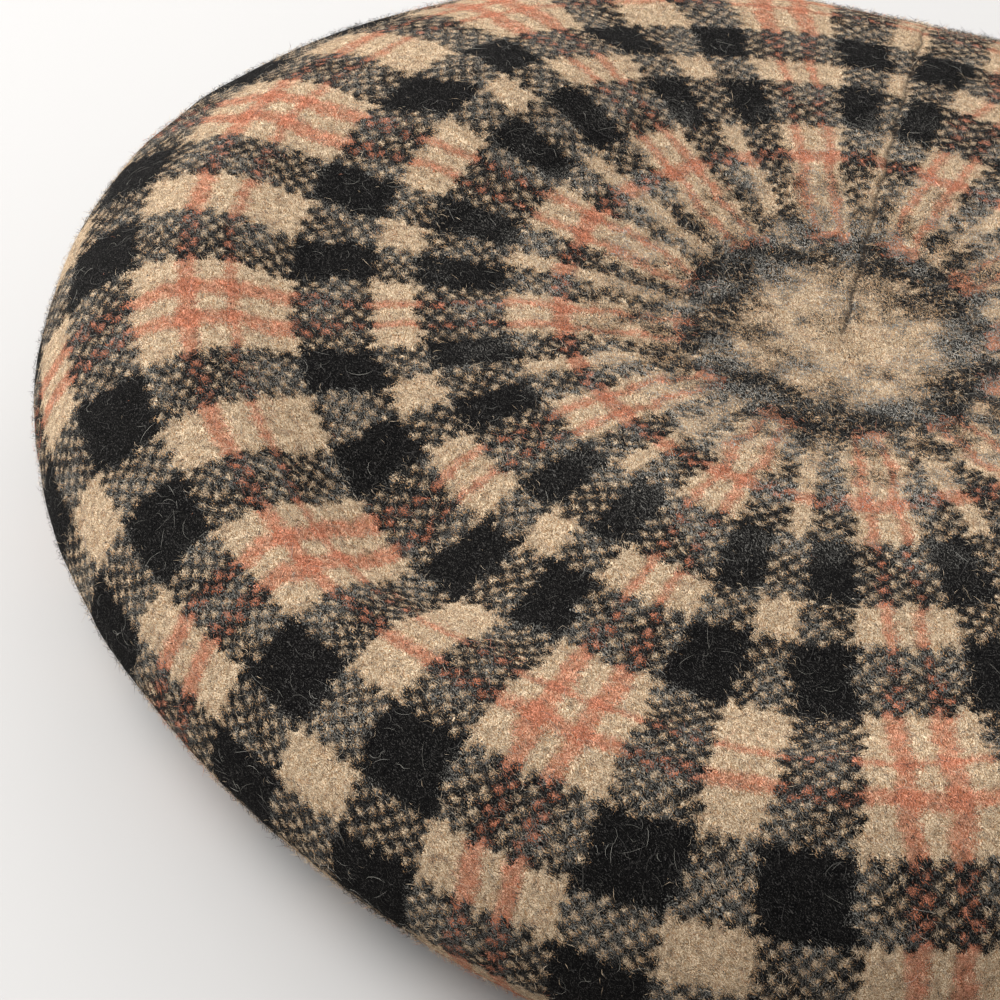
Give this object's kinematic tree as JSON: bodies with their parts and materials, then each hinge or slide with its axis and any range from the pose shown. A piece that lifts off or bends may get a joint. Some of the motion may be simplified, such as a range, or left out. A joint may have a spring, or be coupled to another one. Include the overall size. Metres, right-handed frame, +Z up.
{
  "type": "tam o shanter",
  "caption": "Round soft knitted cap with a wide flat crown, a full rolled rim and a turned-in hem round the head opening, lying crown up.",
  "frame": {"origin": "on the resting surface, under the middle of the cap's box", "axes": "+Z up through the crown; the pictured side faces -Y, and the crown's short seam runs to the rear a little right of the middle"},
  "size_m": [0.2766, 0.2736, 0.0593],
  "materials": {
    "felted_wool": "brushed, lightly felted wool knit in a check of oatmeal, black and muted coral"
  },
  "bodies": {
    "root": {"felted_cap": "felted_wool"}
  },
  "joints": []
}
